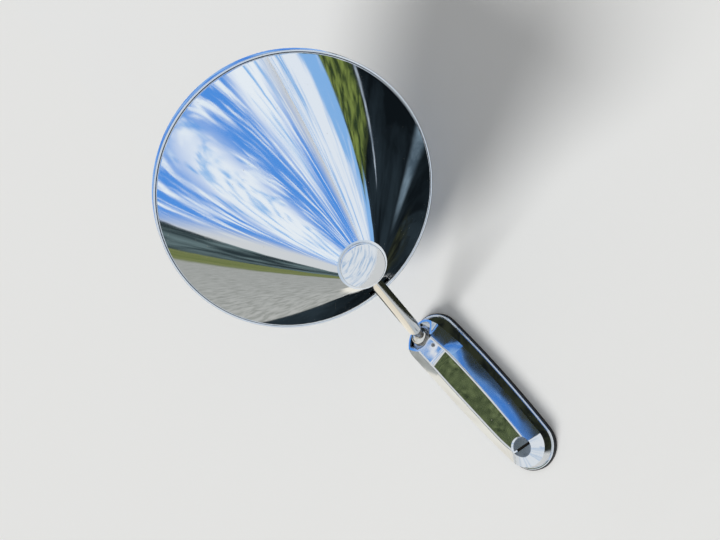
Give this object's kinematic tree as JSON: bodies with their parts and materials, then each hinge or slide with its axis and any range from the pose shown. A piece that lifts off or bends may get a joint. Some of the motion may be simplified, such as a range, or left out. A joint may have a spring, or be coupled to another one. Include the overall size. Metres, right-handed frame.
{
  "type": "round door mirror for a classic car",
  "caption": "Round rear-view mirror with a conical chrome back, on a ball-jointed arm and a long streamlined foot that is screwed to a car door.",
  "frame": {"origin": "on the door's surface, at the middle of the face that the foot's gasket lies on", "axes": "+Z out of the door, +X along the foot to its screwed front end, +Y across it to the car's side"},
  "size_m": [0.1755, 0.1128, 0.1511],
  "materials": {
    "chrome": "bright decorative chrome plate",
    "chrome_cast": "bright chrome plate on a polished casting",
    "steel": "plain turned steel",
    "gasket_rubber": "matt black moulded rubber",
    "mirror": "silvered flat glass",
    "backing": "black fibre board"
  },
  "bodies": {
    "foot": {"foot": "chrome_cast", "foot_gasket": "gasket_rubber", "front_screw": "steel", "rear_stud": "steel", "grub_screw": "steel"},
    "cup": {"lower_cup": "steel"},
    "arm": {"arm": "chrome"},
    "pivot": {"nose_ball": "steel"},
    "head": {"shell": "chrome", "ball_socket": "steel", "nose_cap": "chrome", "bezel": "chrome", "mirror_glass": "mirror", "backing_board": "backing"}
  },
  "joints": [
    {"name": "cup_swing", "type": "hinge", "parent": "foot", "child": "cup", "pos_m": [-0.0322, 0, 0.0112], "axis": [-0.4848, 0, 0.8746], "range_deg": [-20, 10]},
    {"name": "arm_raise", "type": "hinge", "parent": "cup", "child": "arm", "pos_m": [-0.0322, 0, 0.0112], "axis": [0.5886, -0.7397, 0.3262], "range_deg": [-5, 20]},
    {"name": "head_turn", "type": "hinge", "parent": "arm", "child": "pivot", "pos_m": [-0.02997, 0.04727, 0.11436], "axis": [0.0197, 0.4165, 0.9089], "range_deg": [-20, 20]},
    {"name": "head_tilt", "type": "hinge", "parent": "pivot", "child": "head", "pos_m": [-0.02997, 0.04727, 0.11436], "axis": [-0.0151, -0.9089, 0.4168], "range_deg": [-14, 4]}
  ]
}
